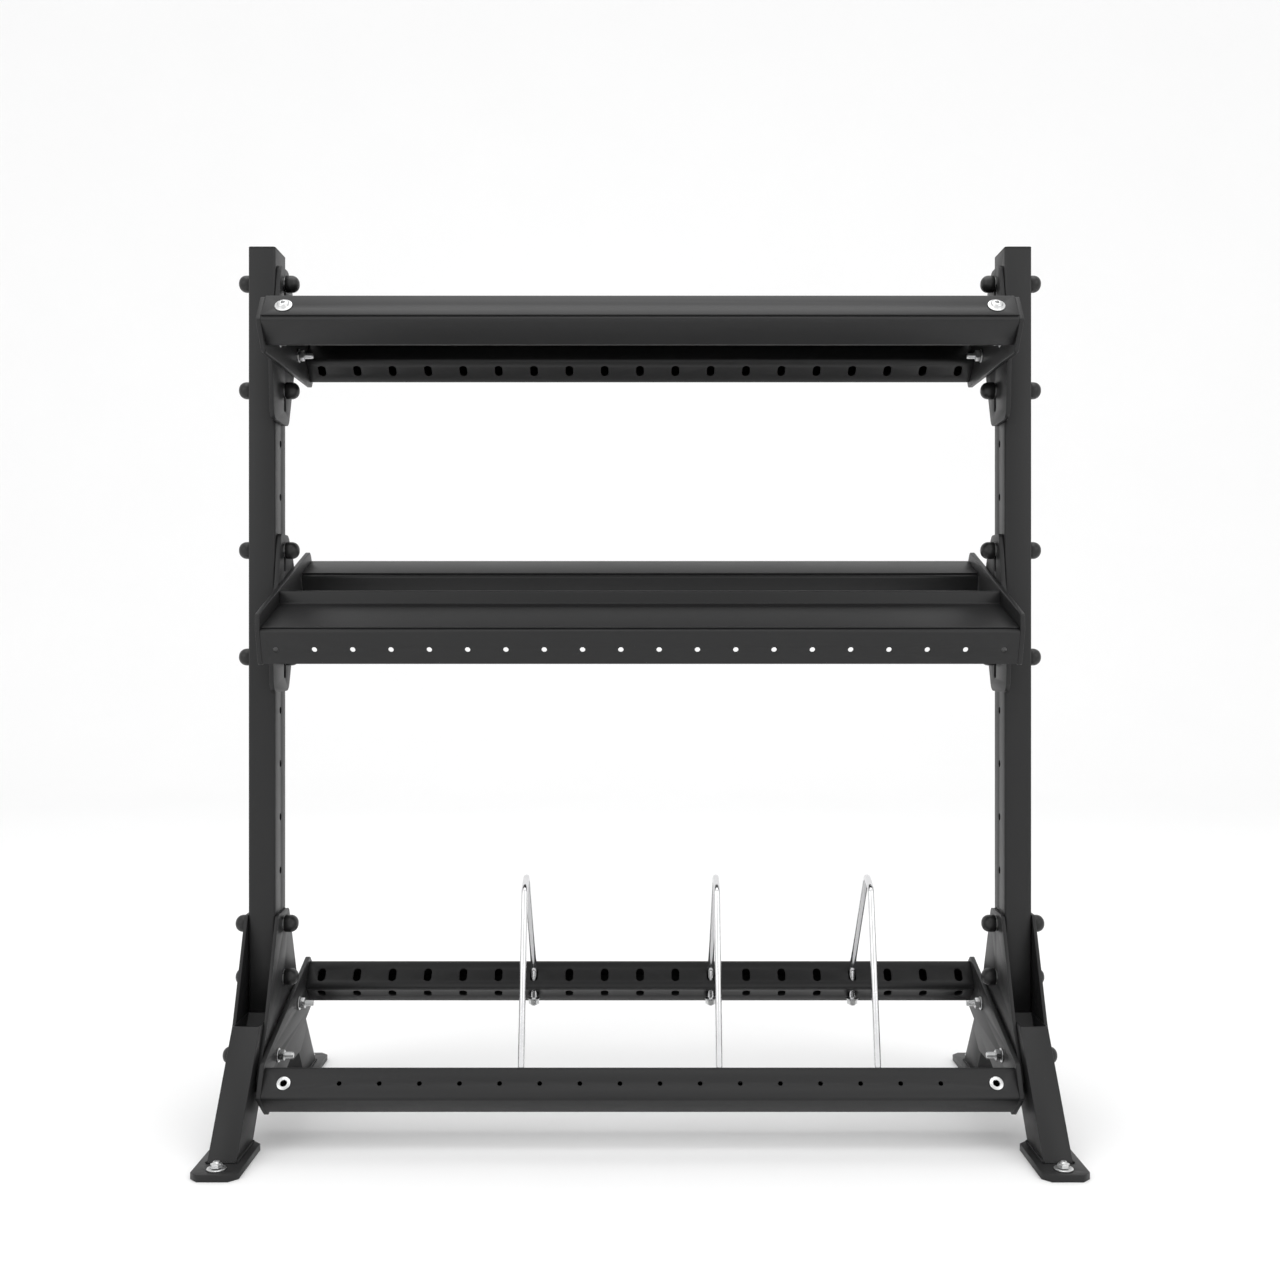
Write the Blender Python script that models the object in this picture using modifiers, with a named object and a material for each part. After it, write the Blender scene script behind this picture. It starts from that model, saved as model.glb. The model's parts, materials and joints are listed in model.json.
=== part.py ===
"""Steel storage rack: a level top deck, a two-step middle tray and a lower bay with rod dividers.

Frame: X to the right, Y to the back, Z up. The origin is on the floor, under the middle of the rack.
Metres throughout. Run with: blender --background --python part.py
"""
import math

import bmesh
import bpy
from mathutils import Matrix, Vector

GAP = 0.0003                 # clearance between pieces that touch

# Uprights: rectangular tube with a row of cross holes.
UPRIGHT_X = 0.700            # middle of each upright
TUBE_WIDTH = 0.050
TUBE_DEPTH = 0.080
TUBE_WALL = 0.003
UPRIGHT_FOOT = 0.170
UPRIGHT_TOP = 1.612
HOLE_PITCH = 0.100
HOLE_LEVELS = [0.255 + HOLE_PITCH * step for step in range(14)]
CAP_THICKNESS = 0.003

# A-frame base: two gusset plates over two leaning legs, each on its own foot plate.
GUSSET_THICKNESS = 0.006
GUSSET_BOLT_LEVELS = (0.255, 0.355)
LEG_LEAN = math.radians(38)
LEG_TOP = 0.200
LEG_FRONT_AT_TOP = -0.145
FOOT_THICKNESS = 0.012
FOOT_FRONT = -0.346
FOOT_LENGTH = 0.161
FOOT_WIDTH = 0.080
FOOT_CHAMFER = 0.014
ANCHOR_Y = -0.321

# Shelves: the rails run between the end plates, which lie on brackets bolted to the uprights.
PLATE = 0.008                # thickness of the brackets and end plates
UPRIGHT_INSIDE = UPRIGHT_X - TUBE_WIDTH / 2
BRACKET_X = (UPRIGHT_INSIDE - GAP - PLATE, UPRIGHT_INSIDE - GAP)
END_PLATE_X = (BRACKET_X[0] - GAP - PLATE, BRACKET_X[0] - GAP)
RAIL_HALF = END_PLATE_X[0] - GAP
FLANGE = 0.060
RAIL_SHEET = 0.004
TRAY_SHEET = 0.003
BEND = 0.006
RIDGE_RISE = math.radians(50)   # slope of the upper flange on the ridge-forward rails
TRAY_RISE = math.radians(18.5)  # slope of the middle shelf
SLOT_PITCH = 0.070
SLOT_COUNT = 19

TOP_FRONT_RIDGE = (-0.208, 1.443)
TOP_REAR_RIDGE = (0.126, 1.438)
TOP_REAR_UPPER = 0.0664      # upper flange of the top rear rail, which carries the level deck
MID_FRONT_RIDGE = (-0.211, 0.904)
MID_REAR_RIDGE = (0.091, 1.012)
LOW_FRONT_RIDGE = (-0.208, 0.091)
LOW_REAR_RIDGE = (0.126, 0.203)
CREASE = 0.008               # how far behind the ridge the trays begin
BUTTON_X = 0.622
BUTTON_REACH = 0.033
MID_HOLE_PITCH = 0.0666
MID_HOLE_COUNT = 20
LOW_HOLE_COUNT = 16

# Fasteners and rods.
BOLT_RADIUS = 0.006
BOLT_HOLE = 0.007
BRACKET_BOLT_LEVELS = {"mid": 1.055, "top": 1.555}
BRACKET_BOLT_DROP = 0.200
LOW_FRONT_BOLT = (-0.084, 0.132)
LOW_REAR_BOLT = (0.075, 0.1860)
ROD_RADIUS = 0.006
DIVIDERS = {"left": -3, "middle": 2, "right": 6}   # slot number, counted from the middle
ROD_REAR_Y = 0.1445          # where the rod drops through the rear rail
ROD_FACE_REACH = 0.0142      # from the front rail's top edge to the rod's hole in its rear face
SLOT_REACH = 0.028           # from a ridge to the middle of its slots
LOWER_HOLE_REACH = 0.023

SIDES = (("left", -1), ("right", 1))
ENDS = (("front", -1), ("rear", 1))


def new_collection(name):
    collection = bpy.data.collections.new(name)
    bpy.context.scene.collection.children.link(collection)
    return collection


def make_material(name, colour, roughness, metallic):
    material = bpy.data.materials.new(name)
    material.use_nodes = True
    shader = material.node_tree.nodes["Principled BSDF"]
    shader.inputs["Base Color"].default_value = (*colour, 1.0)
    shader.inputs["Roughness"].default_value = roughness
    shader.inputs["Metallic"].default_value = metallic
    return material


def add_part(name, mesh, finish):
    """Put a mesh in the scene as one named sub-part with a material of its own."""
    part = bpy.data.objects.new(name, mesh)
    colour, roughness, metallic = finish
    mesh.materials.clear()
    mesh.materials.append(make_material(name + "_finish", colour, roughness, metallic))
    rack.objects.link(part)
    return part


def add_cutter(name, mesh):
    cutter = bpy.data.objects.new(name, mesh)
    cutter.hide_render = True
    cutter.display_type = "WIRE"
    cutters.objects.link(cutter)
    return cutter


def cut(part, cutter):
    boolean = part.modifiers.new("cut_" + cutter.name, "BOOLEAN")
    boolean.operation = "DIFFERENCE"
    boolean.solver = "EXACT"
    boolean.object = cutter


def mesh_of(work, matrix):
    """The evaluated mesh of a curve or modified object, closed and placed by a matrix."""
    scene_objects = bpy.context.scene.collection.objects
    scene_objects.link(work)
    graph = bpy.context.evaluated_depsgraph_get()
    mesh = bpy.data.meshes.new_from_object(work.evaluated_get(graph))
    scene_objects.unlink(work)
    bpy.data.objects.remove(work)
    shape = bmesh.new()
    shape.from_mesh(mesh)
    bmesh.ops.remove_doubles(shape, verts=shape.verts, dist=0.00001)
    bmesh.ops.recalc_face_normals(shape, faces=shape.faces)
    bmesh.ops.transform(shape, matrix=matrix, verts=shape.verts)
    shape.to_mesh(mesh)
    shape.free()
    return mesh


def rounded(points, steps=3, closed=True):
    """Points (a, b) or (a, b, radius): each corner with a radius becomes an arc."""
    path = []
    count = len(points)
    for index, point in enumerate(points):
        corner = Vector(point[:2])
        radius = point[2] if len(point) > 2 else 0
        inner = closed or 0 < index < count - 1
        if not radius or not inner:
            path.append(corner)
            continue
        before = (Vector(points[index - 1][:2]) - corner).normalized()
        after = (Vector(points[(index + 1) % count][:2]) - corner).normalized()
        half = before.angle(after) / 2
        centre = corner + (before + after).normalized() * radius / math.sin(half)
        start = corner + before * radius / math.tan(half) - centre
        end = corner + after * radius / math.tan(half) - centre
        for step in range(steps + 1):
            way = start.slerp(end, step / steps)
            path.append(centre + way.normalized() * radius)
    return path


def sheet_outline(points, thickness, steps=3):
    """The outline of a bent sheet. The thickness lies to the right of the path."""
    path = rounded(points, steps, closed=False)
    inside = []
    for index, point in enumerate(path):
        ways = []
        if index:
            ways.append((point - path[index - 1]).normalized())
        if index < len(path) - 1:
            ways.append((path[index + 1] - point).normalized())
        normals = [Vector((way.y, -way.x)) for way in ways]
        mean = sum(normals, Vector((0, 0))).normalized()
        inside.append(point + mean * thickness / mean.dot(normals[0]))
    return path + inside[::-1]


ACROSS = Matrix(((0, 0, 1, 0), (1, 0, 0, 0), (0, 1, 0, 0), (0, 0, 0, 1)))  # outline in YZ, along X
UPWARDS = Matrix.Identity(4)                                               # outline in XY, along Z


def outline_mesh(outline, low, high, facing=ACROSS):
    """A flat outline made solid between two distances along its normal."""
    curve = bpy.data.curves.new("outline", "CURVE")
    curve.dimensions = "2D"
    curve.fill_mode = "BOTH"
    curve.extrude = abs(high - low) / 2
    spline = curve.splines.new("POLY")
    spline.points.add(len(outline) - 1)
    for target, point in zip(spline.points, outline):
        target.co = (point[0], point[1], 0, 1)
    spline.use_cyclic_u = True
    work = bpy.data.objects.new("outline", curve)
    return mesh_of(work, facing @ Matrix.Translation((0, 0, (low + high) / 2)))


def turned_mesh(profile, matrix, steps=12):
    """A profile of (radius, height) from top to bottom, turned about its axis with a Screw."""
    mesh = bpy.data.meshes.new("profile")
    edges = [(index, index + 1) for index in range(len(profile) - 1)]
    mesh.from_pydata([(radius, 0, height) for radius, height in profile], edges, [])
    work = bpy.data.objects.new("turned", mesh)
    screw = work.modifiers.new("turn", "SCREW")
    screw.axis = "Z"
    screw.steps = steps
    screw.render_steps = steps
    screw.use_merge_vertices = True
    screw.merge_threshold = 0.0001
    return mesh_of(work, matrix)


def holes_mesh(stations, radius, depth, facing, sides=10, length=0.0):
    """Round holes, or slots along the facing's second axis, at a list of stations."""
    shape = bmesh.new()
    stretch = max(length - 2 * radius, 0) / 2
    for station in stations:
        ring = bmesh.ops.create_cone(shape, segments=sides, radius1=radius, radius2=radius,
                                     depth=depth, cap_ends=True)
        turn = Matrix.Rotation(math.pi / sides, 3, "Z")
        bmesh.ops.rotate(shape, verts=ring["verts"], matrix=turn, cent=(0, 0, 0))
        for vertex in ring["verts"]:
            vertex.co.y += math.copysign(stretch, vertex.co.y)
        bmesh.ops.transform(shape, matrix=Matrix.Translation(station) @ facing, verts=ring["verts"])
    mesh = bpy.data.meshes.new("holes")
    shape.to_mesh(mesh)
    shape.free()
    return mesh


def across(side, span):
    """A span of X on one side of the rack, in rising order."""
    return sorted((side * span[0], side * span[1]))


def on_rail(ridge, rise, upper=0.0, lower=0.0):
    """A point (y, z) on a rail, reached from its ridge along the upper or the lower flange."""
    return (ridge[0] + math.cos(rise) * upper + math.sin(rise) * lower,
            ridge[1] + math.sin(rise) * upper - math.cos(rise) * lower)


def facing_flange(slope):
    """Turns a hole's axis square to a flange, with the second axis up the flange's slope."""
    return Matrix.Rotation(slope, 4, "X")


BLACK_COAT = ((0.022, 0.022, 0.023), 0.45, 0.0)
BLACK_PLASTIC = ((0.012, 0.012, 0.012), 0.5, 0.0)
BRIGHT_ZINC = ((0.62, 0.62, 0.62), 0.25, 1.0)
BRIGHT_CHROME = ((0.75, 0.75, 0.76), 0.08, 1.0)
TURN_TO_X = Matrix.Rotation(math.radians(90), 4, "Y")


def leg_point(depth, level):
    """Y of the front leg at a level, at a horizontal depth behind its front face."""
    return LEG_FRONT_AT_TOP - (LEG_TOP - level) * math.tan(LEG_LEAN) + depth / math.cos(LEG_LEAN)


def make_upright(side_name, side):
    x = side * UPRIGHT_X
    half_x = TUBE_WIDTH / 2
    half_y = TUBE_DEPTH / 2
    corner = 0.005
    outer = [(x - half_x, -half_y, corner), (x + half_x, -half_y, corner),
             (x + half_x, half_y, corner), (x - half_x, half_y, corner)]
    in_x = half_x - TUBE_WALL
    in_y = half_y - TUBE_WALL
    inner = [(x - in_x, -in_y), (x + in_x, -in_y), (x + in_x, in_y), (x - in_x, in_y)]
    mesh = outline_mesh(rounded(outer), UPRIGHT_FOOT, UPRIGHT_TOP, UPWARDS)
    upright = add_part("upright_" + side_name, mesh, BLACK_COAT)
    bore = outline_mesh(rounded(inner), UPRIGHT_FOOT - 0.01, UPRIGHT_TOP + 0.01, UPWARDS)
    cut(upright, add_cutter("upright_bore_" + side_name, bore))
    holes = holes_mesh([(x, 0, level) for level in HOLE_LEVELS], BOLT_HOLE, TUBE_WIDTH * 2, TURN_TO_X)
    cut(upright, add_cutter("upright_holes_" + side_name, holes))
    low = UPRIGHT_TOP + GAP
    cap = outline_mesh(rounded(outer), low, low + CAP_THICKNESS, UPWARDS)
    add_part("upright_cap_" + side_name, cap, BLACK_PLASTIC)


def make_gusset(name, side, span):
    right = [(0.040, 0.378, 0.012), (0.118, 0.200, 0.010), (0.178, 0.105, 0.008), (0.135, 0.078, 0.008),
             (0.070, 0.078, 0.006)]
    left = [(-y, z, radius) for y, z, radius in right]
    outline = rounded(left + [(0, 0.142, 0.010)] + right[::-1])
    gusset = add_part(name, outline_mesh(outline, *across(side, span)), BLACK_COAT)
    middle = side * (span[0] + span[1]) / 2
    spots = [(0, level) for level in GUSSET_BOLT_LEVELS]
    spots.append(LOW_FRONT_BOLT)
    if span[0] < UPRIGHT_X:
        spots.append(LOW_REAR_BOLT)
    holes = holes_mesh([(middle, y, z) for y, z in spots], BOLT_HOLE, PLATE * 3, TURN_TO_X)
    cut(gusset, add_cutter(name + "_holes", holes))


def make_leg(name, side, end):
    foot = FOOT_THICKNESS + GAP

    def section(inset, low, high):
        corners = [(inset, low), (inset, high), (TUBE_DEPTH - inset, high), (TUBE_DEPTH - inset, low)]
        return [(-end * leg_point(depth, level), level) for depth, level in corners]

    half = TUBE_WIDTH / 2 - GAP
    span = (UPRIGHT_X - half, UPRIGHT_X + half)
    leg = add_part(name, outline_mesh(section(0, foot, LEG_TOP), *across(side, span)), BLACK_COAT)
    bore_span = (span[0] + TUBE_WALL, span[1] - TUBE_WALL)
    bore = outline_mesh(section(TUBE_WALL, foot - 0.01, LEG_TOP + 0.01), *across(side, bore_span))
    cut(leg, add_cutter(name + "_bore", bore))
    if end > 0:
        y, z = LOW_REAR_BOLT
        holes = holes_mesh([(side * span[0], y, z)], BOLT_HOLE, TUBE_WALL * 4, TURN_TO_X)
        cut(leg, add_cutter(name + "_hole", holes))


def make_foot(name, side, end):
    near = -end * FOOT_FRONT
    far = near - end * FOOT_LENGTH
    y_low, y_high = sorted((near, far))
    x_low = side * UPRIGHT_X - FOOT_WIDTH / 2
    x_high = x_low + FOOT_WIDTH
    clip = FOOT_CHAMFER
    outline = [(x_low + clip, y_low), (x_high - clip, y_low), (x_high, y_low + clip), (x_high, y_high - clip),
               (x_high - clip, y_high), (x_low + clip, y_high), (x_low, y_high - clip), (x_low, y_low + clip)]
    foot = add_part(name, outline_mesh(outline, 0, FOOT_THICKNESS, UPWARDS), BLACK_COAT)
    spot = (side * UPRIGHT_X, -end * ANCHOR_Y, FOOT_THICKNESS / 2)
    hole = holes_mesh([spot], BOLT_HOLE, FOOT_THICKNESS * 3, UPWARDS)
    cut(foot, add_cutter(name + "_hole", hole))


def make_anchor_bolt(name, side, end):
    """A hex bolt on a broad washer, standing in the foot plate's hole."""
    seat = FOOT_THICKNESS + GAP
    profile = [(0, 0.014), (0.0085, 0.014), (0.0095, 0.012), (0.0095, 0.0035), (0.016, 0.003),
               (0.016, 0), (BOLT_RADIUS, 0), (BOLT_RADIUS, -0.010), (0, -0.010)]
    matrix = Matrix.Translation((side * UPRIGHT_X, -end * ANCHOR_Y, seat))
    add_part(name, turned_mesh(profile, matrix), BRIGHT_ZINC)


def capped_bolt_profile(low, high):
    """A through bolt between two bearing faces, with a washer and a domed cap on each end."""
    def head(face, way):
        radius = 0.016
        dome = 0.014
        straight = face + way * 0.013
        points = [(BOLT_RADIUS, face), (0.0125, face), (0.0125, face + way * 0.0025),
                  (radius, face + way * 0.003), (radius, straight)]
        points.append((radius * math.cos(math.radians(50)), straight + way * dome * 0.77))
        points.append((0, straight + way * dome))
        return points
    return head(high, 1)[::-1] + head(low, -1)


def make_capped_bolt(name, side, y, z, low, high):
    matrix = Matrix.Translation((0, y, z)) @ Matrix.Rotation(side * math.radians(90), 4, "Y")
    add_part(name, turned_mesh(capped_bolt_profile(low - GAP, high + GAP), matrix), BLACK_PLASTIC)


def make_bracket(name, side, bolt_level):
    right = [(0.026, 0.030, 0.014), (0.057, 0, 0.010), (0.076, -0.035, 0.010), (0.076, -0.150, 0.020),
             (0.030, -0.264, 0.020)]
    left = [(-0.080, -0.264, 0.020), (-0.091, -0.150, 0.015), (-0.048, -0.060, 0.015), (-0.030, 0.030, 0.014)]
    outline = [(y, bolt_level + z, radius) for y, z, radius in right + left]
    bracket = add_part(name, outline_mesh(rounded(outline), *across(side, BRACKET_X)), BLACK_COAT)
    middle = side * sum(BRACKET_X) / 2
    slot_length = 0.048
    drop = slot_length / 2 - BOLT_HOLE - 0.001
    stations = [(middle, 0, bolt_level - drop), (middle, 0, bolt_level - BRACKET_BOLT_DROP - drop)]
    facing = ACROSS
    slots = holes_mesh(stations, BOLT_HOLE, PLATE * 3, facing, 12, slot_length)
    cut(bracket, add_cutter(name + "_slots", slots))


END_PLATES = {
    "top": [(-0.207, 1.443, 0.004), (-0.168, 1.393, 0.006), (0.184, 1.393, 0.010), (0.217, 1.444, 0.012), (0.186, 1.486, 0.010),
            (-0.173, 1.490, 0.006)],
    "mid": [(-0.211, 0.904, 0.003), (-0.191, 0.842, 0.006), (0.204, 0.974, 0.010), (0.192, 1.034, 0.006),
            (0.170, 1.064, 0.014), (-0.169, 0.947, 0.010), (-0.210, 0.932, 0.004)],
    "low": [(-0.208, 0.091, 0.004), (-0.150, 0.045, 0.006), (0.178, 0.155, 0.010), (0.220, 0.214, 0.012),
            (0.167, 0.257, 0.012), (-0.178, 0.144, 0.010)],
}


def make_end_plate(name, side, shelf):
    outline = rounded(END_PLATES[shelf])
    plate = add_part(name, outline_mesh(outline, *across(side, END_PLATE_X)), BLACK_COAT)
    if shelf == "low":
        middle = side * sum(END_PLATE_X) / 2
        spots = [(middle, *LOW_FRONT_BOLT), (middle, *LOW_REAR_BOLT)]
        holes = holes_mesh(spots, BOLT_HOLE, PLATE * 3, TURN_TO_X)
        cut(plate, add_cutter(name + "_holes", holes))


def make_rail(name, ridge, rise, upper=FLANGE, lower=FLANGE):
    """An angle rail: the lower flange, the rounded ridge, then the upper flange."""
    path = [on_rail(ridge, rise, lower=lower), (*ridge, BEND), on_rail(ridge, rise, upper=upper)]
    outline = sheet_outline(path, RAIL_SHEET)
    return add_part(name, outline_mesh(outline, -RAIL_HALF, RAIL_HALF), BLACK_COAT)


def make_square_rail(name, ridge, upper=FLANGE):
    """A square tube rail, turned so that one long edge, the ridge, points forward."""
    corners = [on_rail(ridge, RIDGE_RISE, *reach) for reach in
               ((0, 0), (0, FLANGE), (upper, FLANGE), (upper, 0))]
    outer = rounded([(*corner, BEND) for corner in corners])
    rail = add_part(name, outline_mesh(outer, -RAIL_HALF, RAIL_HALF), BLACK_COAT)
    wall = RAIL_SHEET
    bore = [on_rail(ridge, RIDGE_RISE, *reach) for reach in
            ((wall, wall), (wall, FLANGE - wall), (upper - wall, FLANGE - wall), (upper - wall, wall))]
    past_end = RAIL_HALF + 0.01
    cut(rail, add_cutter(name + "_bore", outline_mesh(rounded(bore), -past_end, past_end)))
    return rail


def spread(pitch, count):
    """Places along X, a pitch apart and centred on the rack."""
    return [(index - (count - 1) / 2) * pitch for index in range(count)]


def cut_row(rail, label, places, spot, slope, radius, length=0.0, sides=8):
    stations = [(x, *spot) for x in places]
    holes = holes_mesh(stations, radius, RAIL_SHEET * 5, facing_flange(slope), sides, length)
    cut(rail, add_cutter(rail.name + "_" + label, holes))


def make_rails():
    down = RIDGE_RISE - math.radians(90)
    slots = spread(SLOT_PITCH, SLOT_COUNT)
    rod_places = [SLOT_PITCH * number for number in DIVIDERS.values()]

    top_front = make_square_rail("top_front_rail", TOP_FRONT_RIDGE)
    spot = on_rail(TOP_FRONT_RIDGE, RIDGE_RISE, upper=BUTTON_REACH)
    cut_row(top_front, "bolts", (-BUTTON_X, BUTTON_X), spot, RIDGE_RISE, 0.006, sides=10)
    top_rear = make_square_rail("top_rear_rail", TOP_REAR_RIDGE, TOP_REAR_UPPER)
    spot = on_rail(TOP_REAR_RIDGE, RIDGE_RISE, lower=SLOT_REACH)
    cut_row(top_rear, "slots", slots, spot, down, 0.008, 0.026, 12)

    mid_front = make_rail("mid_front_rail", MID_FRONT_RIDGE, TRAY_RISE, lower=0.062)
    spot = on_rail(MID_FRONT_RIDGE, TRAY_RISE, lower=0.036)
    places = spread(MID_HOLE_PITCH, MID_HOLE_COUNT)
    cut_row(mid_front, "holes", places, spot, TRAY_RISE - math.radians(90), 0.005)
    make_rail("mid_rear_rail", MID_REAR_RIDGE, TRAY_RISE)

    low_front = make_square_rail("low_front_rail", LOW_FRONT_RIDGE)
    spot = on_rail(LOW_FRONT_RIDGE, RIDGE_RISE, upper=0.029)
    cut_row(low_front, "holes", spread(SLOT_PITCH, LOW_HOLE_COUNT), spot, RIDGE_RISE, 0.0045)
    cut_row(low_front, "rivet_nuts", (-BUTTON_X, BUTTON_X), spot, RIDGE_RISE, 0.009, sides=12)
    spot = on_rail(LOW_FRONT_RIDGE, RIDGE_RISE, upper=FLANGE, lower=ROD_FACE_REACH)
    cut_row(low_front, "rods", rod_places, spot, down, 0.0085, sides=12)

    low_rear = make_square_rail("low_rear_rail", LOW_REAR_RIDGE)
    spot = on_rail(LOW_REAR_RIDGE, RIDGE_RISE, upper=SLOT_REACH)
    cut_row(low_rear, "slots", slots, spot, RIDGE_RISE, 0.008, 0.028, 12)
    spot = on_rail(LOW_REAR_RIDGE, RIDGE_RISE, lower=LOWER_HOLE_REACH)
    cut_row(low_rear, "holes", slots, spot, down, 0.008, 0.023, 12)


def make_trays():
    """The deck and both trays are bent sheets that lie on the rails."""
    def lifted(ridge, rise, reach, lift):
        y, z = on_rail(ridge, rise, upper=reach)
        return (y - math.sin(rise) * lift, z + math.cos(rise) * lift)

    lift = GAP + TRAY_SHEET
    level = TOP_FRONT_RIDGE[1] + math.sin(RIDGE_RISE) * FLANGE + lift + 0.0008
    start = lifted(TOP_FRONT_RIDGE, RIDGE_RISE, CREASE, lift)
    bend_y = start[0] + (level - start[1]) / math.tan(RIDGE_RISE)
    back = on_rail(TOP_REAR_RIDGE, RIDGE_RISE, upper=TOP_REAR_UPPER)[0] + 0.010
    path = [start, (bend_y, level, BEND), (back, level)]
    deck = add_part("top_deck", outline_mesh(sheet_outline(path, TRAY_SHEET), -RAIL_HALF, RAIL_HALF), BLACK_COAT)
    spot = on_rail(TOP_FRONT_RIDGE, RIDGE_RISE, upper=BUTTON_REACH)
    cut_row(deck, "bolts", (-BUTTON_X, BUTTON_X), spot, RIDGE_RISE, 0.006, sides=10)

    start = lifted(MID_FRONT_RIDGE, TRAY_RISE, CREASE, lift)
    foot = lifted(MID_FRONT_RIDGE, TRAY_RISE, 0.145, lift)
    riser = foot[1] + 0.024
    path = [start, (*foot, 0.004), (foot[0], riser, 0.005), (foot[0] + 0.012, riser)]
    add_part("mid_front_tray", outline_mesh(sheet_outline(path, TRAY_SHEET), -RAIL_HALF, RAIL_HALF), BLACK_COAT)

    start = lifted(MID_REAR_RIDGE, TRAY_RISE, CREASE, lift)
    heel = lifted(MID_REAR_RIDGE, TRAY_RISE, 0.100, lift)
    lip = (heel[0] + math.sin(TRAY_RISE) * 0.014, heel[1] - math.cos(TRAY_RISE) * 0.014)
    path = [start, (*heel, 0.005), lip]
    add_part("mid_rear_tray", outline_mesh(sheet_outline(path, TRAY_SHEET), -RAIL_HALF, RAIL_HALF), BLACK_COAT)


def make_divider(name, x):
    """A bent rod: up out of the front rail, over the top, down its long back run, through the rear rail."""
    corners = [(-0.1665, 0.100), (-0.082, 0.434, 0.020), (-0.035, 0.451, 0.020), (ROD_REAR_Y, 0.240, 0.018),
               (ROD_REAR_Y, 0.165)]
    path = rounded(corners, 4, closed=False)
    curve = bpy.data.curves.new(name, "CURVE")
    curve.dimensions = "3D"
    curve.bevel_depth = ROD_RADIUS
    curve.bevel_resolution = 2
    curve.use_fill_caps = True
    spline = curve.splines.new("POLY")
    spline.points.add(len(path) - 1)
    for target, point in zip(spline.points, path):
        target.co = (x, point.x, point.y, 1)
    mesh = mesh_of(bpy.data.objects.new(name, curve), UPWARDS)
    add_part(name, mesh, BRIGHT_CHROME)


def make_button_bolt(name, side):
    """A flanged button head on the deck's front slope, with its shank and nut behind the rail."""
    y, z = on_rail(TOP_FRONT_RIDGE, RIDGE_RISE, upper=BUTTON_REACH)
    seat = 2 * GAP + TRAY_SHEET
    back = -RAIL_SHEET - GAP
    profile = [(0, seat + 0.0075), (0.005, seat + 0.007), (0.0092, seat + 0.004), (0.010, seat + 0.0025),
               (0.015, seat + 0.0015), (0.015, seat), (0.0045, seat), (0.0045, back), (0.0085, back),
               (0.0085, back - 0.008), (0.0045, back - 0.008), (0.0045, back - 0.012), (0, back - 0.012)]
    matrix = Matrix.Translation((side * BUTTON_X, y, z)) @ facing_flange(RIDGE_RISE)
    add_part(name, turned_mesh(profile, matrix), BRIGHT_ZINC)


def make_shelf_bolt(name, side, spot, through):
    """A bolt through the lower end plate: a nut and bare thread inside, a head on the far side."""
    inner = END_PLATE_X[0] - GAP
    profile = [(0, through + 0.008), (0.0105, through + 0.008), (0.0105, through), (BOLT_RADIUS, through),
               (BOLT_RADIUS, inner), (0.013, inner), (0.013, inner - 0.002), (0.0105, inner - 0.0025),
               (0.0105, inner - 0.013), (BOLT_RADIUS, inner - 0.013), (BOLT_RADIUS, inner - 0.028),
               (0, inner - 0.028)]
    matrix = Matrix.Translation((0, *spot)) @ Matrix.Rotation(side * math.radians(90), 4, "Y")
    add_part(name, turned_mesh(profile, matrix), BRIGHT_ZINC)


for leftover in list(bpy.data.objects):
    bpy.data.objects.remove(leftover, do_unlink=True)
rack = new_collection("storage_rack")
cutters = new_collection("cutters")

outer_face = UPRIGHT_X + TUBE_WIDTH / 2
GUSSET_SPANS = {
    "inner": (UPRIGHT_INSIDE - GAP - GUSSET_THICKNESS, UPRIGHT_INSIDE - GAP),
    "outer": (outer_face + GAP, outer_face + GAP + GUSSET_THICKNESS),
}
for side_name, side in SIDES:
    make_upright(side_name, side)
    for layer, span in GUSSET_SPANS.items():
        make_gusset(f"{layer}_gusset_{side_name}", side, span)
    for end_name, end in ENDS:
        make_leg(f"{end_name}_leg_{side_name}", side, end)
        make_foot(f"{end_name}_foot_{side_name}", side, end)
        make_anchor_bolt(f"{end_name}_anchor_bolt_{side_name}", side, end)
    for index, level in enumerate(GUSSET_BOLT_LEVELS):
        name = f"base_bolt_{index + 1}_{side_name}"
        make_capped_bolt(name, side, 0, level, GUSSET_SPANS["inner"][0], GUSSET_SPANS["outer"][1])
    for shelf, level in BRACKET_BOLT_LEVELS.items():
        make_bracket(f"{shelf}_bracket_{side_name}", side, level)
        for index, drop in enumerate((0, BRACKET_BOLT_DROP)):
            name = f"{shelf}_bracket_bolt_{index + 1}_{side_name}"
            make_capped_bolt(name, side, 0, level - drop, BRACKET_X[0], outer_face)
    for shelf in END_PLATES:
        make_end_plate(f"{shelf}_end_plate_{side_name}", side, shelf)
    through_front = GUSSET_SPANS["outer"][1] + GAP
    through_rear = UPRIGHT_INSIDE + TUBE_WALL + 2 * GAP
    make_shelf_bolt(f"low_front_bolt_{side_name}", side, LOW_FRONT_BOLT, through_front)
    make_shelf_bolt(f"low_rear_bolt_{side_name}", side, LOW_REAR_BOLT, through_rear)
    make_button_bolt(f"deck_bolt_{side_name}", side)
make_rails()
make_trays()
for place, number in DIVIDERS.items():
    make_divider("divider_" + place, SLOT_PITCH * number)
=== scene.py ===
"""The looks of the storage rack: refined steelwork, fasteners, welds, finishes, camera and studio."""
import json
import math

import bmesh
import bpy
from mathutils import Matrix, Vector


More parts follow.
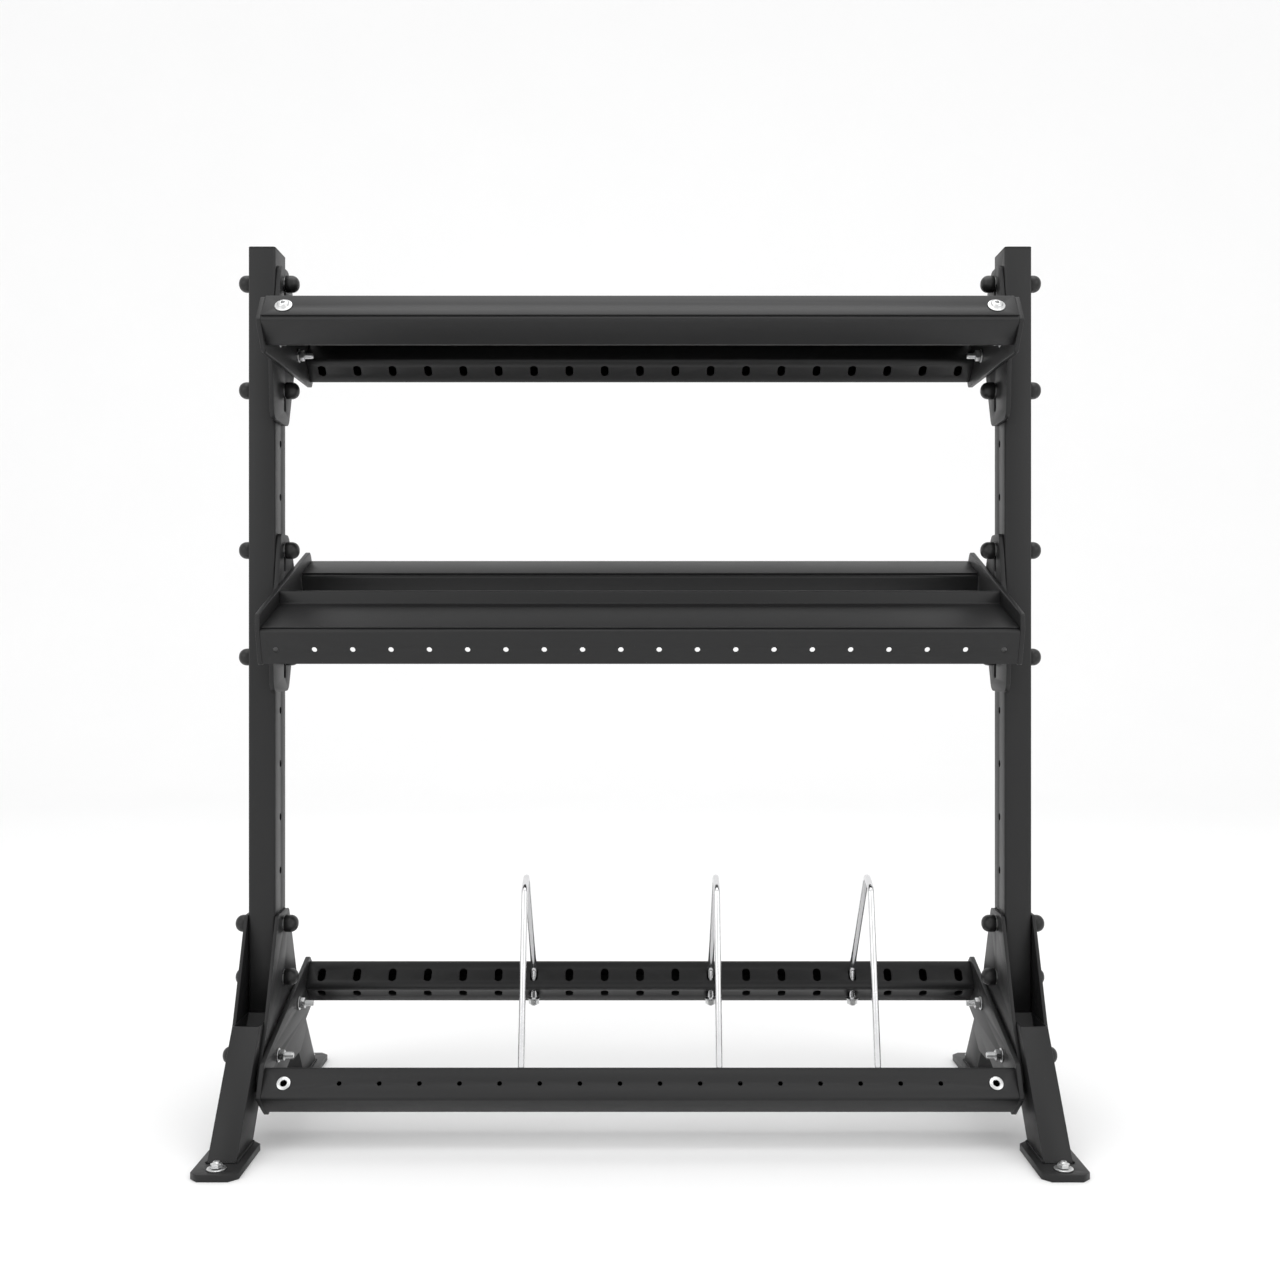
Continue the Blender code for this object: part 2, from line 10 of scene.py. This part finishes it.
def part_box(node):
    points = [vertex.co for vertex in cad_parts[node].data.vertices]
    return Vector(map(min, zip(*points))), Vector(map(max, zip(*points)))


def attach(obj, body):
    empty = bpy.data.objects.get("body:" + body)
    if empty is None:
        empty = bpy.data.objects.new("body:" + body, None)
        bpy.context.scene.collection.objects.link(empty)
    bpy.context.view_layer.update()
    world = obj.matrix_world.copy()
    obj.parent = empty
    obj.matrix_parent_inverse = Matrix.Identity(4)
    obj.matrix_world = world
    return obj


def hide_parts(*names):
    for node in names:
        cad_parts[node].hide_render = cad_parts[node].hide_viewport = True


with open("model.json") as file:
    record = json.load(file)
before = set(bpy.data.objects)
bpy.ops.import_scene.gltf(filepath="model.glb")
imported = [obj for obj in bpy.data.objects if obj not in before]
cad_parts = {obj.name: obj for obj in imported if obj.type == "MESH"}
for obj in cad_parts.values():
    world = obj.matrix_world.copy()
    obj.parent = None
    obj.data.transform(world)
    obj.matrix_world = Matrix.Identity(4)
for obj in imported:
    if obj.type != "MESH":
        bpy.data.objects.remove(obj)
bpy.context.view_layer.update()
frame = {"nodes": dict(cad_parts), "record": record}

# ---------------------------------------------------------------------------
# Studio: the camera faces the rack square on, at about the height of the middle shelf.
# A pale sweep runs under and up behind the rack, lit by large soft lamps.
CAMERA_HEIGHT = 0.887
CAMERA_DISTANCE = 2.671
camera_data = bpy.data.cameras.new("camera")
camera_data.lens = 40
camera_data.sensor_width = 36
camera = bpy.data.objects.new("camera", camera_data)
camera.location = (0, -CAMERA_DISTANCE, CAMERA_HEIGHT)
camera.rotation_euler = (math.radians(90), 0, 0)
bpy.context.scene.collection.objects.link(camera)
bpy.context.scene.camera = camera

world = bpy.data.worlds.new("studio")
world.use_nodes = True
world.node_tree.nodes["Background"].inputs["Color"].default_value = (1, 1, 1, 1)
world.node_tree.nodes["Background"].inputs["Strength"].default_value = 1.0
bpy.context.scene.world = world
bpy.context.scene.view_settings.view_transform = "Standard"


class Value:
    """A shader socket that can be added and multiplied. The sum is a new Math node."""

    def __init__(self, builder, socket):
        self.builder = builder
        self.socket = socket

    def maths(self, operation, first, second):
        return self.builder.node("ShaderNodeMath", {"operation": operation}, {0: first, 1: second})

    def __add__(self, other):
        return self.maths("ADD", self, other)

    def __mul__(self, other):
        return self.maths("MULTIPLY", self, other)

    __radd__ = __add__
    __rmul__ = __mul__


MIX_FACTOR, MIX_FIRST, MIX_SECOND, MIX_RESULT = 0, 6, 7, 2   # a Mix node's colour sockets


class Finish:
    """A material under construction, with its Principled shader."""

    def __init__(self, name):
        self.material = bpy.data.materials.new(name)
        self.material.use_nodes = True
        self.tree = self.material.node_tree
        self.shader = self.tree.nodes["Principled BSDF"]
        self.place = self.node("ShaderNodeTexCoord", {}, {}, "Object")

    def node(self, kind, settings, values, output=0):
        """Adds a node: its settings, then the values or links of its sockets. Gives one output."""
        node = self.tree.nodes.new(kind)
        for name, value in settings.items():
            setattr(node, name, value)
        for key, value in values.items():
            self.feed(node.inputs[key], value)
        return Value(self, node.outputs[output])

    def feed(self, socket, value):
        if isinstance(value, Value):
            self.tree.links.new(value.socket, socket)
        else:
            socket.default_value = value

    def grain(self, scale, detail=2.0):
        """Noise, from 0 to 1, at so many features to the metre."""
        values = {"Vector": self.place, "Scale": scale, "Detail": detail}
        return self.node("ShaderNodeTexNoise", {}, values, "Fac")

    def above(self, value, low, high):
        """0 below low, 1 above high, smooth between."""
        settings = {"interpolation_type": "SMOOTHSTEP"}
        values = {"Value": value, "From Min": low, "From Max": high}
        return self.node("ShaderNodeMapRange", settings, values)

    def blend(self, mask, first, second):
        """The first colour where the mask is 0, the second where it is 1."""
        colours = [tone if isinstance(tone, Value) else (*tone, 1) for tone in (first, second)]
        settings = {"data_type": "RGBA"}
        values = {MIX_FACTOR: mask, MIX_FIRST: colours[0], MIX_SECOND: colours[1]}
        return self.node("ShaderNodeMix", settings, values, MIX_RESULT)

    def bump(self, height, distance):
        return self.node("ShaderNodeBump", {}, {"Height": height, "Distance": distance}, "Normal")

    def wear(self, values):
        """Sets or links the shader's own sockets."""
        for name, value in values.items():
            self.feed(self.shader.inputs[name], value)


floor_finish = Finish("pale_floor")
floor_tone = floor_finish.blend(floor_finish.grain(1.5), (0.93, 0.93, 0.93), (0.95, 0.95, 0.95))
floor_finish.wear({"Base Color": floor_tone, "Roughness": 0.55})

SWEEP_BACK = 5.0             # where the floor turns up into the backdrop
SWEEP_RADIUS = 2.0
SWEEP_SIDE = 9.0
SWEEP_FRONT = -7.0
SWEEP_TOP = 7.0
SWEEP_STEPS = 12
sweep_path = [(SWEEP_FRONT, 0.0), (SWEEP_BACK, 0.0)]
for turn in range(1, SWEEP_STEPS + 1):
    angle = math.radians(90 * turn / SWEEP_STEPS)
    sweep_path.append((SWEEP_BACK + SWEEP_RADIUS * math.sin(angle), SWEEP_RADIUS * (1 - math.cos(angle))))
sweep_path.append((SWEEP_BACK + SWEEP_RADIUS, SWEEP_TOP))
sweep_mesh = bpy.data.meshes.new("studio_sweep")
sweep_points = [(x, y, z) for y, z in sweep_path for x in (-SWEEP_SIDE, SWEEP_SIDE)]
sweep_faces = [(2 * row, 2 * row + 1, 2 * row + 3, 2 * row + 2) for row in range(len(sweep_path) - 1)]
sweep_mesh.from_pydata(sweep_points, [], sweep_faces)
sweep_mesh.shade_smooth()
sweep_mesh.materials.append(floor_finish.material)
sweep = bpy.data.objects.new("studio_sweep", sweep_mesh)
bpy.context.scene.collection.objects.link(sweep)


def soft_lamp(name, place, aim, width, height, power):
    """A large rectangular lamp, turned to face a point on the rack."""
    data = bpy.data.lights.new(name, "AREA")
    data.shape = "RECTANGLE"
    data.size = width
    data.size_y = height
    data.energy = power
    lamp = bpy.data.objects.new(name, data)
    lamp.location = place
    lamp.rotation_euler = (Vector(aim) - Vector(place)).to_track_quat("-Z", "Y").to_euler()
    bpy.context.scene.collection.objects.link(lamp)


soft_lamp("top_lamp", (0, -0.4, 4.2), (0, 0, 0.8), 3.5, 3.0, 60)
soft_lamp("left_lamp", (-3.2, -3.4, 2.6), (0, 0, 0.9), 2.2, 2.6, 26)
soft_lamp("right_lamp", (3.2, -3.4, 2.6), (0, 0, 0.9), 2.2, 2.6, 26)

# ---------------------------------------------------------------------------
# Steelwork: uprights, gussets, legs, feet, brackets, end plates, rails, deck and trays.
# Laser-cut and folded mild steel with a fine-textured satin black powder coat. Each piece is
# its CAD solid with the cut edges broken, so that the coat rounds over them as it does in life.
EDGE_BREAK = 0.0009
coat = Finish("powder_coat")
orange_peel = coat.grain(420, 3.0)
fine_tooth = coat.grain(1500, 1.0)
cloud = coat.grain(3.5, 3.0)
fleck = coat.above(coat.grain(230, 4.0), 0.70, 0.76)
coat_tone = coat.blend(cloud, (0.0090, 0.0090, 0.0094), (0.0135, 0.0135, 0.0138))
coat_tone = coat.blend(fleck * 0.5, coat_tone, (0.03, 0.03, 0.03))
coat_height = orange_peel * 0.7 + fine_tooth * 0.3
coat_rough = 0.40 + cloud * 0.10 + fleck * 0.12
coat.shader.inputs["Specular IOR Level"].default_value = 0.32
coat.wear({"Base Color": coat_tone, "Roughness": coat_rough, "Normal": coat.bump(coat_height, 0.00012)})

plastic = Finish("moulded_plastic")
plastic_tooth = plastic.grain(1100, 2.0)
plastic_cloud = plastic.grain(40, 2.0)
plastic_tone = plastic.blend(plastic_cloud, (0.006, 0.006, 0.006), (0.011, 0.011, 0.011))
plastic_rough = 0.30 + plastic_cloud * 0.16
plastic.shader.inputs["Specular IOR Level"].default_value = 0.40
plastic_bump = plastic.bump(plastic_tooth, 0.00006)
plastic.wear({"Base Color": plastic_tone, "Roughness": plastic_rough, "Normal": plastic_bump})

MERGE = 0.00002                 # points nearer than this are one point
BEVEL_FROM = math.radians(50)   # edges sharper than this are broken
SHARP_FROM = math.radians(46)   # edges sharper than this stay crisp in the shading


def refined(node, finish):
    """A merged copy of a CAD node with broken edges and smooth rounds, in the node's place."""
    mesh = frame["nodes"][node].data.copy()
    mesh.name = node + "_skin"
    shape = bmesh.new()
    shape.from_mesh(mesh)
    bmesh.ops.remove_doubles(shape, verts=shape.verts, dist=MERGE)
    flat = math.radians(1)
    bmesh.ops.dissolve_limit(shape, angle_limit=flat, verts=shape.verts, edges=shape.edges)
    shape.to_mesh(mesh)
    shape.free()
    for name in [layer.name for layer in mesh.uv_layers]:
        mesh.uv_layers.remove(mesh.uv_layers[name])
    mesh.materials.clear()
    mesh.materials.append(finish.material)
    piece = bpy.data.objects.new(node + "_skin", mesh)
    bpy.context.scene.collection.objects.link(piece)
    bevel = piece.modifiers.new("broken_edges", "BEVEL")
    bevel.width = EDGE_BREAK
    bevel.segments = 2
    bevel.limit_method = "ANGLE"
    bevel.angle_limit = BEVEL_FROM
    bevel.use_clamp_overlap = True
    graph = bpy.context.evaluated_depsgraph_get()
    final = bpy.data.meshes.new_from_object(piece.evaluated_get(graph))
    piece.modifiers.clear()
    piece.data = final
    final.shade_smooth()
    final.set_sharp_from_angle(angle=SHARP_FROM)
    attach(piece, "root")
    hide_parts(node)


SLOT_OF_NODE = {entry["node"]: entry["material_slot"] for entry in frame["record"]["subparts"]}
for node in sorted(frame["nodes"]):
    if SLOT_OF_NODE[node] == "black_coat":
        refined(node, coat)
    elif node.startswith("upright_cap"):
        refined(node, plastic)

# ---------------------------------------------------------------------------
# Dividers: 12 mm round bar, bent cold and chrome plated. Each has the bends of its CAD solid,
# with a rounder section, and plugs into the front rail and drops through the rear one.
chrome = Finish("chrome_plate")
chrome_cloud = chrome.grain(55, 3.0)
stretched = chrome.node("ShaderNodeMapping", {}, {"Vector": chrome.place, "Scale": (900, 900, 12)})
drawn = chrome.node("ShaderNodeTexNoise", {}, {"Vector": stretched, "Scale": 1.0, "Detail": 2.0}, "Fac")
chrome_tone = chrome.blend(chrome_cloud, (0.72, 0.72, 0.73), (0.82, 0.82, 0.83))
chrome_rough = 0.10 + chrome_cloud * 0.08 + drawn * 0.05
chrome_bump = chrome.bump(drawn, 0.000015)
chrome.wear({"Base Color": chrome_tone, "Roughness": chrome_rough, "Metallic": 1.0, "Normal": chrome_bump})

ROD_RADIUS = 0.006
ROD_REAR_Y = 0.1445
ROD_CORNERS = [(-0.1665, 0.100, 0), (-0.082, 0.434, 0.020), (-0.035, 0.451, 0.020),
               (ROD_REAR_Y, 0.240, 0.018), (ROD_REAR_Y, 0.165, 0)]   # y, z and bend radius


def rod_path(corners, steps=8):
    """Straight runs with an arc at each bend, in the YZ plane."""
    path = [Vector(corners[0][:2])]
    for before, here, after in zip(corners, corners[1:], corners[2:]):
        corner = Vector(here[:2])
        back = (Vector(before[:2]) - corner).normalized()
        ahead = (Vector(after[:2]) - corner).normalized()
        half = back.angle(ahead) / 2
        centre = corner + (back + ahead).normalized() * here[2] / math.sin(half)
        start = corner + back * here[2] / math.tan(half) - centre
        end = corner + ahead * here[2] / math.tan(half) - centre
        for step in range(steps + 1):
            way = start.slerp(end, step / steps).normalized()
            path.append(centre + way * here[2])
    return path + [Vector(corners[-1][:2])]


def make_rod(node):
    """A chrome rod in a divider's place. Gives the place of its plane along X."""
    low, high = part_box(node)
    middle = (low.x + high.x) / 2
    curve = bpy.data.curves.new(node + "_rod", "CURVE")
    curve.dimensions = "3D"
    curve.bevel_depth = ROD_RADIUS
    curve.bevel_resolution = 6
    curve.use_fill_caps = True
    spline = curve.splines.new("POLY")
    path = rod_path(ROD_CORNERS)
    spline.points.add(len(path) - 1)
    for target, point in zip(spline.points, path):
        target.co = (middle, point.x, point.y, 1)
    work = bpy.data.objects.new("rod", curve)
    bpy.context.scene.collection.objects.link(work)
    graph = bpy.context.evaluated_depsgraph_get()
    mesh = bpy.data.meshes.new_from_object(work.evaluated_get(graph))
    bpy.data.objects.remove(work)
    shape = bmesh.new()
    shape.from_mesh(mesh)
    bmesh.ops.remove_doubles(shape, verts=shape.verts, dist=MERGE / 2)
    bmesh.ops.recalc_face_normals(shape, faces=shape.faces)
    shape.to_mesh(mesh)
    shape.free()
    mesh.shade_smooth()
    mesh.set_sharp_from_angle(angle=math.radians(50))
    mesh.materials.clear()
    mesh.materials.append(chrome.material)
    rod = bpy.data.objects.new(node + "_rod", mesh)
    bpy.context.scene.collection.objects.link(rod)
    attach(rod, "root")
    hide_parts(node)
    return middle


dividers = [node for node in sorted(frame["nodes"]) if node.startswith("divider")]
divider_places = [make_rod(node) for node in dividers]

# ---------------------------------------------------------------------------
# Fasteners: bright zinc hex bolts, nuts and washers. Each kind is drawn once, and a node tree
# sets a copy of it on every point, turned so that it stands along the point's aim.
zinc = Finish("bright_zinc")
zinc_cloud = zinc.grain(90, 3.0)
zinc_tooth = zinc.grain(1400, 1.0)
zinc_tone = zinc.blend(zinc_cloud, (0.55, 0.56, 0.57), (0.74, 0.74, 0.73))
zinc_rough = 0.20 + zinc_cloud * 0.20
zinc_bump = zinc.bump(zinc_tooth, 0.00003)
zinc.wear({"Base Color": zinc_tone, "Roughness": zinc_rough, "Metallic": 1.0, "Normal": zinc_bump})


def placing_tree():
    """The node tree that sets a copy of a piece on each point, with its Z axis along the aim."""
    tree = bpy.data.node_groups.new("set_on_points", "GeometryNodeTree")
    face = tree.interface
    face.new_socket("Points", in_out="INPUT", socket_type="NodeSocketGeometry")
    face.new_socket("Piece", in_out="INPUT", socket_type="NodeSocketObject")
    face.new_socket("Size", in_out="INPUT", socket_type="NodeSocketFloat").default_value = 1.0
    face.new_socket("Finish", in_out="INPUT", socket_type="NodeSocketMaterial")
    face.new_socket("Pieces", in_out="OUTPUT", socket_type="NodeSocketGeometry")
    given = tree.nodes.new("NodeGroupInput")
    result = tree.nodes.new("NodeGroupOutput")
    piece = tree.nodes.new("GeometryNodeObjectInfo")
    aim = tree.nodes.new("GeometryNodeInputNamedAttribute")
    aim.data_type = "FLOAT_VECTOR"
    aim.inputs["Name"].default_value = "aim"
    align = tree.nodes.new("FunctionNodeAlignRotationToVector")
    align.axis = "Z"
    copies = tree.nodes.new("GeometryNodeInstanceOnPoints")
    real = tree.nodes.new("GeometryNodeRealizeInstances")
    paint = tree.nodes.new("GeometryNodeSetMaterial")
    link = tree.links.new
    link(given.outputs["Piece"], piece.inputs["Object"])
    link(given.outputs["Points"], copies.inputs["Points"])
    link(piece.outputs["Geometry"], copies.inputs["Instance"])
    link(aim.outputs["Attribute"], align.inputs["Vector"])
    link(align.outputs["Rotation"], copies.inputs["Rotation"])
    link(given.outputs["Size"], copies.inputs["Scale"])
    link(copies.outputs["Instances"], real.inputs["Geometry"])
    link(real.outputs["Geometry"], paint.inputs["Geometry"])
    link(given.outputs["Finish"], paint.inputs["Material"])
    link(paint.outputs["Geometry"], result.inputs["Pieces"])
    return tree


PLACING = placing_tree()


def set_on_points(name, mesh, stations, finish, smooth=40):
    """One plain mesh holding a copy of a piece at every station (place, aim)."""
    model = bpy.data.objects.new(name + "_model", mesh)
    points = bpy.data.meshes.new(name + "_points")
    points.from_pydata([place for place, aim in stations], [], [])
    aims = points.attributes.new("aim", "FLOAT_VECTOR", "POINT")
    aims.data.foreach_set("vector", [number for place, aim in stations for number in aim])
    holder = bpy.data.objects.new(name + "_holder", points)
    for item in (model, holder):
        bpy.context.scene.collection.objects.link(item)
    modifier = holder.modifiers.new("placing", "NODES")
    modifier.node_group = PLACING
    values = {"Piece": model, "Size": 1.0, "Finish": finish.material}
    for socket in PLACING.interface.items_tree:
        if socket.name in values:
            modifier[socket.identifier] = values[socket.name]
    graph = bpy.context.evaluated_depsgraph_get()
    final = bpy.data.meshes.new_from_object(holder.evaluated_get(graph))
    final.name = name
    for item in (holder, model):
        bpy.data.objects.remove(item)
    final.materials.clear()
    final.materials.append(finish.material)
    final.shade_smooth()
    final.set_sharp_from_angle(angle=math.radians(smooth))
    piece = bpy.data.objects.new(name, final)
    bpy.context.scene.collection.objects.link(piece)
    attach(piece, "root")
    return piece


TINY = 0.00001               # a profile point nearer the axis than this is a pole


def turned(profile, sides=32):
    """A closed turned solid from a profile of (radius, height), bottom to top."""
    shape = bmesh.new()
    rings = []
    for radius, height in profile:
        if radius < TINY:
            rings.append([shape.verts.new((0, 0, height))])
            continue
        ring = []
        for side in range(sides):
            angle = math.tau * side / sides
            ring.append(shape.verts.new((radius * math.cos(angle), radius * math.sin(angle), height)))
        rings.append(ring)
    for lower, upper in zip(rings, rings[1:]):
        for side in range(sides):
            after = (side + 1) % sides
            corners = [lower[side % len(lower)], lower[after % len(lower)],
                       upper[after % len(upper)], upper[side % len(upper)]]
            kept = [corner for index, corner in enumerate(corners) if corner not in corners[:index]]
            shape.faces.new(kept)
    bmesh.ops.recalc_face_normals(shape, faces=shape.faces)
    mesh = bpy.data.meshes.new("turned")
    shape.to_mesh(mesh)
    shape.free()
    return mesh


def joined(*meshes):
    """Several meshes as one."""
    shape = bmesh.new()
    for mesh in meshes:
        shape.from_mesh(mesh)
    result = bpy.data.meshes.new("joined")
    shape.to_mesh(result)
    shape.free()
    return result


def hexagon(across, low, high):
    """A hex head or nut, chamfered on both faces."""
    corner = across / math.sqrt(3)
    face = across * 0.46
    chamfer = 0.0012
    return turned([(0, low), (face, low), (corner, low + chamfer), (corner, high - chamfer),
                   (face, high), (0, high)], 6)


def ring_of(profile, sides=40):
    """A closed profile turned about the axis, like a washer or a tube."""
    shape = bmesh.new()
    rings = []
    for side in range(sides):
        angle = math.tau * side / sides
        rings.append([shape.verts.new((r * math.cos(angle), r * math.sin(angle), z)) for r, z in profile])
    count = len(profile)
    for side, ring in enumerate(rings):
        after = rings[(side + 1) % sides]
        for index in range(count):
            step = (index + 1) % count
            shape.faces.new((ring[index], ring[step], after[step], after[index]))
    bmesh.ops.recalc_face_normals(shape, faces=shape.faces)
    mesh = bpy.data.meshes.new("ring")
    shape.to_mesh(mesh)
    shape.free()
    return mesh


def washer(outer, inner, thickness, low=0.0):
    """A flat ring with softened edges. The profile closes on itself round the hole."""
    soft = thickness * 0.25
    high = low + thickness
    return ring_of([(inner, low), (outer - soft, low), (outer, low + soft), (outer, high - soft),
                    (outer - soft, high), (inner + soft, high), (inner, high - soft)])


def thread(radius, low, high, pitch=0.00175):
    """A threaded end, as a stack of ridges, with a chamfered tip."""
    root = radius - pitch * 0.45
    profile = [(0, low), (root, low)]
    for turn in range(int((high - low - pitch) / pitch)):
        profile += [(radius, low + pitch * (turn + 0.5)), (root, low + pitch * (turn + 1))]
    profile += [(root, high - 0.0008), (root - 0.0008, high), (0, high)]
    return turned(profile, 24)


M12_FLATS = 0.018
M12_RADIUS = 0.006
M12_HOLE = 0.0065            # a washer's inner radius
WASHER = 0.0024              # thickness
NUT_END = 0.0129
nut_and_end = joined(washer(0.0128, M12_HOLE, WASHER), hexagon(M12_FLATS, WASHER, NUT_END),
                     thread(M12_RADIUS, 0.0120, 0.0285))

plate_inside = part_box("low_end_plate_right")[0].x
leg_bolts = [node for node in sorted(frame["nodes"]) if node.startswith(("low_front_bolt", "low_rear_bolt"))]


def axis_of(node):
    """The y and z of a bolt that lies along X."""
    low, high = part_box(node)
    return (low.y + high.y) / 2, (low.z + high.z) / 2


nut_stations = []
for node in ("low_front_bolt_right", "low_rear_bolt_right"):
    for side in (-1, 1):
        nut_stations.append(((side * plate_inside, *axis_of(node)), (-side, 0, 0)))
leg_nuts = set_on_points("leg_bolt_nuts", nut_and_end, nut_stations, zinc)
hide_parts(*leg_bolts)

# The top and middle end plates are bolted to their brackets in the same way, from outside.
TOP_PLATE_BOLTS = ((-0.072, 1.435), (0.072, 1.435))
MID_PLATE_BOLTS = ((-0.066, 0.905), (0.046, 0.942))
plate_stations = []
for y, z in TOP_PLATE_BOLTS + MID_PLATE_BOLTS:
    for side in (-1, 1):
        plate_stations.append(((side * plate_inside, y, z), (-side, 0, 0)))
set_on_points("plate_bolt_nuts", nut_and_end, plate_stations, zinc)

# ---------------------------------------------------------------------------
# Upright bolts: long hex bolts right through the tube. Both ends have a bright washer and a
# domed black plastic cap pushed over the head or the nut.
CAP_RADIUS = 0.016
CAP_FOOT = 0.0026
CAP_SIDE = 0.0125
CAP_DOME = 0.0145
CAP_FULLNESS = 0.85          # below 1 the dome is fuller than a ball
DOME_STEPS = 9
dome_profile = [(0, CAP_FOOT), (0.0130, CAP_FOOT), (0.0150, 0.0024), (CAP_RADIUS, 0.0034),
                (CAP_RADIUS, CAP_SIDE)]
for step in range(1, DOME_STEPS):
    angle = math.radians(90 * step / DOME_STEPS)
    radius = CAP_RADIUS * math.cos(angle) ** CAP_FULLNESS
    dome_profile.append((radius, CAP_SIDE + CAP_DOME * math.sin(angle)))
dome_profile.append((0, CAP_SIDE + CAP_DOME))
dome_cap = turned(dome_profile, 40)
cap_washer = washer(0.0140, M12_HOLE, WASHER)

CAP_REACH = CAP_SIDE + CAP_DOME   # from the tip of the dome to the face it bears on
cap_stations = []
capped = [node for node in sorted(frame["nodes"]) if "bracket_bolt" in node or "base_bolt" in node]
for node in capped:
    low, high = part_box(node)
    cap_stations.append(((low.x + CAP_REACH, *axis_of(node)), (-1, 0, 0)))
    cap_stations.append(((high.x - CAP_REACH, *axis_of(node)), (1, 0, 0)))
outer_gusset_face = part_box("outer_gusset_right")[1].x
for side in (-1, 1):
    cap_stations.append(((side * outer_gusset_face, *axis_of("low_front_bolt_right")), (side, 0, 0)))
caps = set_on_points("bolt_caps", dome_cap, cap_stations, plastic, smooth=50)
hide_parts(*capped)
set_on_points("cap_washers", cap_washer, cap_stations, zinc)

# ---------------------------------------------------------------------------
# Deck bolts: flanged button heads in bright zinc, one near each end of the deck's front slope.
# The socket in the crown is sunk in the turned profile.
RAIL_SLOPE = math.radians(50)
RIDGE_Y = -0.208             # the front rails' ridges
TOP_RIDGE_Z = 1.443
LOW_RIDGE_Z = 0.091
BOLT_X = 0.622
DECK_BOLT_REACH = 0.033      # up the face, from its ridge
RIVET_REACH = 0.029
HEAD_LIFT = 0.0036           # the heads bear on the deck sheet, off the rail's face
RIVET_LIFT = 0.0002
outward = Vector((0, -math.sin(RAIL_SLOPE), math.cos(RAIL_SLOPE)))


def on_slope(x, ridge_z, reach, lift):
    """A station on a front rail's upper face, a reach up from its ridge and lifted off the face."""
    y = RIDGE_Y + math.cos(RAIL_SLOPE) * reach
    z = ridge_z + math.sin(RAIL_SLOPE) * reach
    return (tuple(Vector((x, y, z)) + outward * lift), tuple(outward))


button_profile = [(0, 0), (0.0045, 0.0), (0.0150, 0.0), (0.0154, 0.0006), (0.0150, 0.0014), (0.0112, 0.0022),
                  (0.0104, 0.0030), (0.0098, 0.0048), (0.0082, 0.0066), (0.0060, 0.0076), (0.0044, 0.0078),
                  (0.0038, 0.0074), (0.0036, 0.0035), (0, 0.0030)]
deck_stations = [on_slope(x, TOP_RIDGE_Z, DECK_BOLT_REACH, HEAD_LIFT) for x in (-BOLT_X, BOLT_X)]
buttons = set_on_points("deck_buttons", turned(button_profile, 36), deck_stations, zinc)
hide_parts("deck_bolt_left", "deck_bolt_right")

# ---------------------------------------------------------------------------
# Rivet nuts: bright threaded inserts pressed into the lower front rail, one near each end.
# Each is a short steel tube with a flat flange on the coated face.
insert = ring_of([(0.0058, -0.006), (0.0085, -0.006), (0.0085, 0.0), (0.0120, 0.0001), (0.0122, 0.0010),
                  (0.0114, 0.0016), (0.0066, 0.0016), (0.0058, 0.0008)])
insert_stations = [on_slope(x, LOW_RIDGE_Z, RIVET_REACH, RIVET_LIFT) for x in (-BOLT_X, BOLT_X)]
set_on_points("rivet_nuts", insert, insert_stations, zinc)

# ---------------------------------------------------------------------------
# Anchor bolts: each foot plate is held to the floor by one hex bolt on a broad washer, in
# bright zinc.
FOOT_TOP = 0.0122            # just clear of the foot plates' upper face
anchor = joined(washer(0.0160, M12_HOLE, 0.0028), hexagon(M12_FLATS, 0.0028, 0.0105),
                thread(M12_RADIUS, 0.0100, 0.0140))
anchor_stations = []
anchor_nodes = [node for node in sorted(frame["nodes"]) if "anchor_bolt" in node]
for node in anchor_nodes:
    low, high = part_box(node)
    anchor_stations.append((((low.x + high.x) / 2, (low.y + high.y) / 2, FOOT_TOP), (0, 0, 1)))
anchors = set_on_points("anchor_bolts", anchor, anchor_stations, zinc)
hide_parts(*anchor_nodes)

# ---------------------------------------------------------------------------
# Divider nuts: each rod is held at its rear end by a bright nut and washer, under the lower
# face of the rear rail.
ROD_NUT_FOOT = 0.1665
rod_nut = joined(hexagon(M12_FLATS, 0.0, 0.010), washer(0.0120, 0.0062, 0.0022, 0.0102))
rod_stations = [((x, ROD_REAR_Y, ROD_NUT_FOOT), (0, 0, 1)) for x in divider_places]
set_on_points("divider_nuts", rod_nut, rod_stations, zinc)

# ---------------------------------------------------------------------------
# Weld seams: short overlapping ripples of filler where the legs stand on the foot plates. They
# are coated with the frame.
ripple = turned([(0, -0.0012), (0.0024, -0.0008), (0.0032, 0.0004), (0.0026, 0.0017), (0.0012, 0.0024),
                 (0, 0.0026)], 8)
WELD_Z = 0.0125
LEG_RUN = 0.1015             # a leg's length along the floor
SIDE_RIPPLES = 27
END_RIPPLES = 14
weld_stations = []


def weld_row(start, end, count):
    """Ripples in a straight row between two points on the foot plate."""
    for step in range(count):
        place = Vector(start).lerp(Vector(end), step / (count - 1))
        weld_stations.append(((place.x, place.y, WELD_Z), (0, 0, 1)))


for node in sorted(frame["nodes"]):
    if "_leg_" not in node:
        continue
    low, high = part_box(node)
    toe, heel = (low.y, low.y + LEG_RUN) if high.y < 0 else (high.y, high.y - LEG_RUN)
    for x in (low.x, high.x):
        weld_row((x, toe), (x, heel), SIDE_RIPPLES)
    for y in (toe, heel):
        weld_row((low.x, y), (high.x, y), END_RIPPLES)
set_on_points("foot_welds", ripple, weld_stations, coat, smooth=80)
